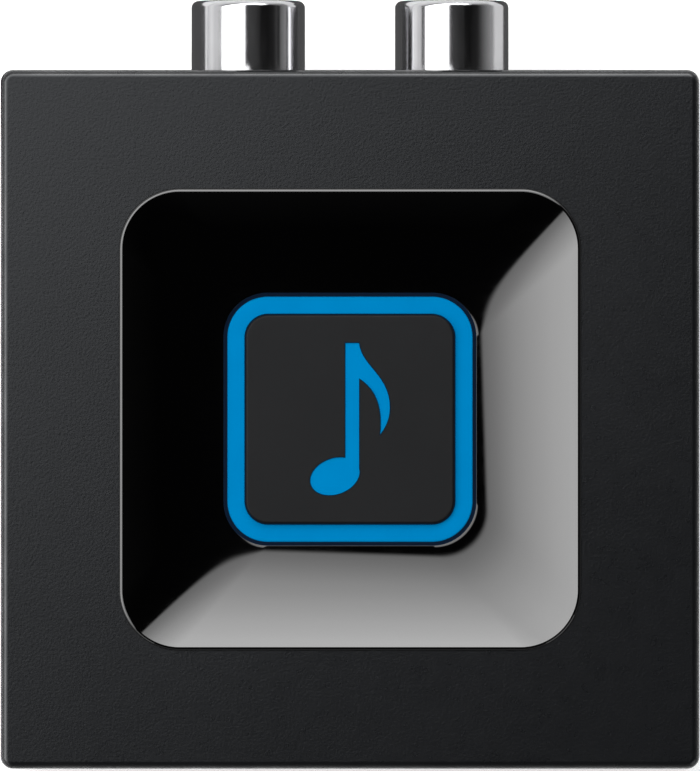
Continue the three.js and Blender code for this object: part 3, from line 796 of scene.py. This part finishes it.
def barrel(side):
    node = f"rca_barrel_{side}"
    low, high = box_mm(node)
    bore, edge, chamfer = 3.6, 0.5, 0.05
    profile = [
        (bore, low.y),
        (BARREL_RADIUS, low.y),
        *tip_edge(BARREL_RADIUS, high.y, edge, 10),
        (bore + 0.6 * chamfer, high.y - 0.2 * chamfer),
        (bore, high.y - chamfer),
    ]
    sleeve = turned(f"phono_sleeve_{side}", profile, (low.x + high.x) / 2, JACK_Z, 128)
    return fit(sleeve, NICKEL, "root", "nickel", node)


def insulator(side, material, slot):
    node = f"rca_insulator_{side}"
    low, high = box_mm(node)
    radius, edge = 3.5, 0.2
    recess_outer, recess_inner, recess_depth = 2.75, 2.55, 0.25
    bore, bore_edge, floor_drop, bore_drop = 2.15, 0.1, 0.05, 0.2
    recess_floor = high.y - recess_depth
    profile = [
        (bore, low.y),
        (radius, low.y),
        *tip_edge(radius, high.y, edge, 5),
        (recess_outer, high.y),
        (recess_inner, recess_floor),
        (bore + bore_edge, recess_floor - floor_drop),
        (bore, recess_floor - bore_drop),
    ]
    insert = turned(f"phono_insert_{side}", profile, (low.x + high.x) / 2, JACK_Z)
    return fit(insert, material, "root", slot, node)


def contact(side):
    """The sprung centre contact: a tube whose tip two crossed slots split into four."""
    node = f"rca_contact_{side}"
    low, high = box_mm(node)
    radius, outer_edge = 2.05, 0.15
    bore, inner_edge = 1.6, 0.2
    slot_half, slot_length, reach = 0.12, 4, 3
    profile = [
        (bore, low.y),
        (radius, low.y),
        *tip_edge(radius, high.y, outer_edge, 4),
        *curl(bore + inner_edge, high.y - inner_edge, inner_edge, 90, 180, 4),
    ]
    x = (low.x + high.x) / 2
    tube = turned(f"phono_contact_{side}", profile, x, JACK_Z, 64)
    for half_x, half_z in ((slot_half, reach), (reach, slot_half)):
        slot_end, tip = high.y - slot_length, high.y + PAST
        cut(tube, block(x - half_x, x + half_x, slot_end, tip, JACK_Z - half_z, JACK_Z + half_z))
    return fit(tube, NICKEL, "root", "nickel", node)


def minijack_bushing():
    low, high = box_mm("minijack_bushing")
    radius, edge = (high.x - low.x) / 2, 0.2
    bore, chamfer = 1.85, 0.35
    profile = [
        (bore, low.y),
        (radius, low.y),
        *tip_edge(radius, high.y, edge, 5),
        (bore + chamfer, high.y),
        (bore, high.y - chamfer),
    ]
    ring = turned("minijack_mouth", profile, (low.x + high.x) / 2, JACK_Z)
    return fit(ring, NICKEL, "root", "nickel", "minijack_bushing")


def power_jack_body():
    """A square body with a round nose, bored for the plug, for its pin and for the sprung leaf."""
    low, high = box_mm("dc_jack_body")
    x = (low.x + high.x) / 2
    panel_gap = 0.05
    body_front = PANEL_LOW.y - panel_gap
    nose_radius, nose_edge = 2.95, 0.15
    bore, bore_floor, bore_flare = 1.9, low.y + 2, 0.3
    pin_hole_radius, pin_hole_floor = 0.75, low.y + 0.4
    leaf_half, leaf_depth = 0.8, 0.8
    body = block(low.x, high.x, low.y, body_front, low.z, high.z)
    body.name = "power_jack_housing"
    nose = [
        (nose_radius, body_front - PAST),
        (nose_radius, high.y - nose_edge),
        (nose_radius - nose_edge, high.y),
    ]
    mouth = [
        (bore, bore_floor),
        (bore, high.y - bore_flare),
        (bore + bore_flare, high.y),
        (bore + bore_flare, high.y + PAST),
    ]
    pin_hole = [(pin_hole_radius, pin_hole_floor), (pin_hole_radius, bore_floor + PAST)]
    join(body, turned("nose", nose, x, JACK_Z, closed=False))
    cut(body, turned("mouth", mouth, x, JACK_Z, closed=False))
    cut(body, turned("pin_hole", pin_hole, x, JACK_Z, 32, closed=False))
    leaf_low = JACK_Z - bore - leaf_depth
    cut(body, block(x - leaf_half, x + leaf_half, bore_floor, body_front - PAST, leaf_low, JACK_Z))
    return fit(body, JACK_BLACK, "root", "jack_plastic", "dc_jack_body")


def power_jack_pin():
    """The inlet's round-ended centre pin."""
    low, high = box_mm("dc_jack_pin")
    radius = (high.x - low.x) / 2
    tip_share = 0.1
    profile = [
        (radius, low.y),
        *curl(0, high.y - radius, radius, 0, 80, 8),
        (radius * tip_share, high.y),
    ]
    pin = turned("power_jack_pin", profile, (low.x + high.x) / 2, JACK_Z, 48, closed=False)
    return fit(pin, NICKEL, "root", "nickel", "dc_jack_pin")


# ---- Inner pieces kept from the frame ------------------------------------------------------------

INNER = {
    "steel": STEEL, "brass": BRASS, "nickel": NICKEL, "board": BOARD, "chip": CHIP, "led": LED,
    "aluminium": ALUMINIUM, "shield_white": SHIELD, "jack_plastic": JACK_BLACK,
}


def dress_inner_nodes():
    slots = {row["node"]: row["material_slot"] for row in frame["record"]["subparts"]}
    for name, node in frame["nodes"].items():
        if not node.hide_render:
            node.data.materials.clear()
            node.data.materials.append(INNER[slots[name]])


# ---- Stage, in metres ----------------------------------------------------------------------------

def stage_sheet(name, bm, material):
    """A sheet of the stage, which isn't part of the receiver."""
    mesh = bpy.data.meshes.new(name)
    bm.to_mesh(mesh)
    bm.free()
    mesh.materials.append(material)
    sheet = bpy.data.objects.new(name, mesh)
    bpy.context.scene.collection.objects.link(sheet)
    return sheet


def corners(x0, x1, y0, y1, z):
    return ((x0, y0, z), (x1, y0, z), (x1, y1, z), (x0, y1, z))


def plane(name, x0, x1, y0, y1, z, material):
    bm = bmesh.new()
    bm.faces.new([bm.verts.new(corner) for corner in corners(x0, x1, y0, y1, z)])
    return stage_sheet(name, bm, material)


def light_panel(name, half_x, half_y, place, material):
    """A glowing panel that lights the receiver and that the camera doesn't see."""
    panel = plane(name, -half_x, half_x, -half_y, half_y, 0, material)
    panel.matrix_world = place
    panel.visible_camera = False
    return panel


RAYS = ("camera", "diffuse", "glossy", "shadow", "transmission", "volume_scatter")


def show_only_to(ray, sheet):
    for other in RAYS:
        setattr(sheet, f"visible_{other}", other == ray)


def emission_material(name):
    material = bpy.data.materials.new(name)
    material.use_nodes = True
    nodes, links = material.node_tree.nodes, material.node_tree.links
    nodes.clear()
    output = nodes.new("ShaderNodeOutputMaterial")
    glow = nodes.new("ShaderNodeEmission")
    links.new(glow.outputs[0], output.inputs["Surface"])
    return material, nodes, links, glow


def even_glow(name, brightness):
    material, _, _, glow = emission_material(name)
    glow.inputs["Color"].default_value = (brightness, brightness, brightness, 1)
    return material


def remapped(nodes, links, value, from_low, from_high, to_high=1.0, smooth=False):
    """The value taken from its own range to 0 and to_high, and held at those outside it."""
    node = nodes.new("ShaderNodeMapRange")
    if smooth:
        node.interpolation_type = "SMOOTHSTEP"
    node.inputs["From Min"].default_value = from_low
    node.inputs["From Max"].default_value = from_high
    node.inputs["To Max"].default_value = to_high
    links.new(value, node.inputs["Value"])
    return node.outputs["Result"]


def grey_ramp(nodes, links, share, stops, scale=1.0):
    """The grey at a share of the way, from stops that are each a position and a brightness."""
    ramp = nodes.new("ShaderNodeValToRGB")
    elements = ramp.color_ramp.elements
    elements[0].position, elements[1].position = stops[0][0], stops[-1][0]
    for position, _ in stops[1:-1]:
        elements.new(position)
    for element, (_, value) in zip(elements, stops):
        grey = value * scale
        element.color = (grey, grey, grey, 1)
    links.new(share, ramp.inputs["Fac"])
    return ramp.outputs["Color"]


SOFTBOX_NEAR = 0.0155
SOFTBOX_FAR = 0.33
SOFTBOX_HEIGHT = 0.30
SOFTBOX_HALF_LENGTH = 0.50
SOFTBOX_BLUR = 0.005
# Shares of the way from its near edge to its far one, and the brightness there.
SOFTBOX_GLOW = (
    (0.0, 1.6), (0.075, 2.08), (0.21, 3.1), (0.35, 3.8), (0.54, 4.5), (0.75, 4.95), (1.0, 4.8),
)
# Shares of its length, and the factor there.
SOFTBOX_LENGTHWISE = ((0.2, 0.93), (0.5, 1.0), (0.6, 0.95), (0.72, 1.04), (0.8, 1.12))
# The ramps hold scaled-down values, and the panel's strength scales them up again.
GLOW_SCALE = 0.1
LENGTHWISE_SCALE = 0.5


def softbox_glow():
    """The softbox's glow, over its local X away from the receiver and its local Y along it."""
    half_depth = (SOFTBOX_FAR - SOFTBOX_NEAR) / 2
    material, nodes, links, glow = emission_material("softbox_glow")
    axes = nodes.new("ShaderNodeSeparateXYZ")
    links.new(nodes.new("ShaderNodeTexCoord").outputs["Object"], axes.inputs[0])
    outwards, lengthwise = axes.outputs["X"], axes.outputs["Y"]
    share = remapped(nodes, links, outwards, -half_depth, half_depth)
    links.new(grey_ramp(nodes, links, share, SOFTBOX_GLOW, GLOW_SCALE), glow.inputs["Color"])

    edge_low, edge_high = -half_depth - SOFTBOX_BLUR, -half_depth + SOFTBOX_BLUR
    full = 1 / (GLOW_SCALE * LENGTHWISE_SCALE)
    edge = remapped(nodes, links, outwards, edge_low, edge_high, full, smooth=True)
    along = remapped(nodes, links, lengthwise, -SOFTBOX_HALF_LENGTH, SOFTBOX_HALF_LENGTH)
    strength = nodes.new("ShaderNodeMath")
    strength.operation = "MULTIPLY"
    links.new(edge, strength.inputs[0])
    links.new(grey_ramp(nodes, links, along, SOFTBOX_LENGTHWISE, LENGTHWISE_SCALE), strength.inputs[1])
    links.new(strength.outputs[0], glow.inputs["Strength"])
    return material


def softbox():
    """A horizontal softbox over the rear left, its near edge just beside the camera's line of sight.

    It grows brighter away from the receiver.
    """
    outward = Vector((-1, 1, 0)).normalized()
    height = Vector((0, 0, SOFTBOX_HEIGHT + FACE * MM))
    centre = outward * (SOFTBOX_FAR + SOFTBOX_NEAR) / 2 + height
    face_down = Matrix.Rotation(math.radians(135), 4, "Z") @ Matrix.Rotation(math.pi, 4, "X")
    place = Matrix.Translation(centre) @ face_down
    half_depth = (SOFTBOX_FAR - SOFTBOX_NEAR) / 2 + SOFTBOX_BLUR
    light_panel("softbox", half_depth, SOFTBOX_HALF_LENGTH, place, softbox_glow())


# The room's brightness by the cosine of the angle from straight up, on the lit and the dark side.
LIT_SIDE = (
    (0.0, 0.9), (0.10, 1.0), (0.19, 1.15), (0.30, 0.85), (0.43, 0.85), (0.54, 0.5), (0.62, 0.02),
    (0.9, 0.004), (1.0, 0.004),
)
DARK_SIDE = (
    (0.0, 0.45), (0.09, 0.34), (0.22, 0.26), (0.34, 0.18), (0.46, 0.09), (0.58, 0.02),
    (0.8, 0.004), (1.0, 0.004),
)
SIDE_BLEND = 0.35


def world_light():
    """A studio with a black ceiling and pale walls, brighter on the softbox's side."""
    world = bpy.data.worlds.new("studio")
    bpy.context.scene.world = world
    world.use_nodes = True
    nodes, links = world.node_tree.nodes, world.node_tree.links
    direction = nodes.new("ShaderNodeTexCoord").outputs["Generated"]
    axes = nodes.new("ShaderNodeSeparateXYZ")
    links.new(direction, axes.inputs[0])
    towards = nodes.new("ShaderNodeVectorMath")
    towards.operation = "DOT_PRODUCT"
    towards.inputs[1].default_value = (-math.sqrt(0.5), math.sqrt(0.5), 0)
    links.new(direction, towards.inputs[0])
    mix = nodes.new("ShaderNodeMix")
    mix.data_type = "RGBA"
    side = remapped(nodes, links, towards.outputs["Value"], -SIDE_BLEND, SIDE_BLEND, smooth=True)
    links.new(side, mix.inputs["Factor"])
    links.new(grey_ramp(nodes, links, axes.outputs["Z"], DARK_SIDE), mix.inputs["A"])
    links.new(grey_ramp(nodes, links, axes.outputs["Z"], LIT_SIDE), mix.inputs["B"])
    links.new(mix.outputs["Result"], nodes["Background"].inputs["Color"])


GROUND_HALF = 3.0
GROUND_HOLE_INSET = 0.0012
GROUND_HOLE_HALF = HALF * MM - GROUND_HOLE_INSET
GROUND_Z = -0.00005
REFLECTED_GROUND_Z = -0.0003


def floor_sheet(name, z, material):
    """A wide sheet with a square hole that the receiver hides, so that its underside gets light."""
    bm = bmesh.new()
    rings = []
    for half in (GROUND_HALF, GROUND_HOLE_HALF):
        rings.append([bm.verts.new(corner) for corner in corners(-half, half, -half, half, z)])
    strip(bm, *rings)
    return stage_sheet(name, bm, material)


def floor_material(name, grey, glow):
    """A matte finish that can be looked through from below."""
    material = bpy.data.materials.new(name)
    material.use_nodes = True
    nodes, links = material.node_tree.nodes, material.node_tree.links
    shader = nodes["Principled BSDF"]
    shader.inputs["Base Color"].default_value = (grey, grey, grey, 1)
    shader.inputs["Roughness"].default_value = 0.9
    shader.inputs["Emission Color"].default_value = (1, 1, 1, 1)
    shader.inputs["Emission Strength"].default_value = glow
    clear = nodes.new("ShaderNodeBsdfTransparent")
    sides = nodes.new("ShaderNodeMixShader")
    links.new(nodes.new("ShaderNodeNewGeometry").outputs["Backfacing"], sides.inputs["Fac"])
    links.new(shader.outputs[0], sides.inputs[1])
    links.new(clear.outputs[0], sides.inputs[2])
    links.new(sides.outputs[0], nodes["Material Output"].inputs["Surface"])
    return material


def floor():
    """A pale floor that also glows a little, so that it stays white beside the receiver.

    Reflections show a second, duller floor just under it.
    """
    ground = floor_sheet("floor", GROUND_Z, floor_material("floor_white", 0.75, 0.5))
    ground.visible_glossy = False
    grey = floor_material("floor_grey", 0.7, 0.1)
    show_only_to("glossy", floor_sheet("floor_in_reflections", REFLECTED_GROUND_Z, grey))


def fill_panels():
    """Two upright panels beyond the front corners, which the top reflects when seen from the rear."""
    away, height, half_width, half_height = 0.5, 0.34, 0.24, 0.26
    glow = even_glow("fill_glow", 0.75)
    for side in (-1, 1):
        upright = Matrix.Rotation(side * math.pi / 4, 4, "Z") @ Matrix.Rotation(math.pi / 2, 4, "X")
        place = Matrix.Translation((side * away, -away, height)) @ upright
        light_panel("fill_panel", half_width, half_height, place, glow)


def light_from_below():
    """A panel under the floor, which lights the receiver's underside through the hidden hole."""
    half, depth = 0.08, 0.03
    place = Matrix.Translation((0, 0, -depth))
    light_panel("light_from_below", half, half, place, even_glow("glow_from_below", 1.6))


def backdrop_above():
    """What the camera sees behind the receiver when it looks up from below."""
    half, height = 3, 2.0
    glow = even_glow("backdrop_glow", 0.8)
    show_only_to("camera", plane("backdrop_above", -half, half, -half, half, height, glow))


def black_cards():
    """Dark cards under and over the jacks, which give the plating its dark bands."""
    dark, black = even_glow("card_grey", 0.1), even_glow("card_black", 0.02)
    under_left, under_right, under_near, under_far, under_height = -0.12, 0.028, 0.022, 0.045, 0.0004
    under = ("black_card_under", under_left, under_right, under_near, under_far, under_height)
    show_only_to("glossy", plane(*under, dark))
    near, far, height = 0.026, 0.034, 0.0222
    left_reach, right_reach = 0.0008, 0.0036
    for side in ("left", "right"):
        x = middle(f"rca_barrel_{side}").x * MM
        x0, x1 = x - left_reach, x + right_reach
        show_only_to("glossy", plane(f"black_card_{side}", x0, x1, near, far, height, black))


# The camera looks straight down. The housing fills the frame's width, and the jacks' tips touch
# its top edge.
SENSOR = 36.0
CAMERA_HEIGHT = 1.0
BODY_SHARE = 0.9987
AIM_Y = 0.00246


def camera():
    data = bpy.data.cameras.new("camera")
    eye = bpy.data.objects.new("camera", data)
    bpy.context.scene.collection.objects.link(eye)
    bpy.context.scene.camera = eye
    data.sensor_fit = "HORIZONTAL"
    data.sensor_width = SENSOR
    data.lens = SENSOR * BODY_SHARE * CAMERA_HEIGHT / (2 * HALF * MM)
    data.clip_start, data.clip_end = 0.05, 10
    eye.location = (0, AIM_Y, FACE * MM + CAMERA_HEIGHT)


# ---- Build ---------------------------------------------------------------------------------------

camera()
top_shell()
bottom_cover()
base_pad()
rear_panel()
dish()
button_lens()
button_symbol()
button_cap()
for label, plastic, slot_name in (("left", WHITE, "insulator_white"), ("right", RED, "insulator_red")):
    barrel(label)
    insulator(label, plastic, slot_name)
    contact(label)
minijack_bushing()
power_jack_body()
power_jack_pin()
dress_inner_nodes()

softbox()
world_light()
floor()
fill_panels()
light_from_below()
backdrop_above()
black_cards()
bpy.context.scene.view_settings.view_transform = "Standard"
bpy.context.scene.view_settings.look = "None"
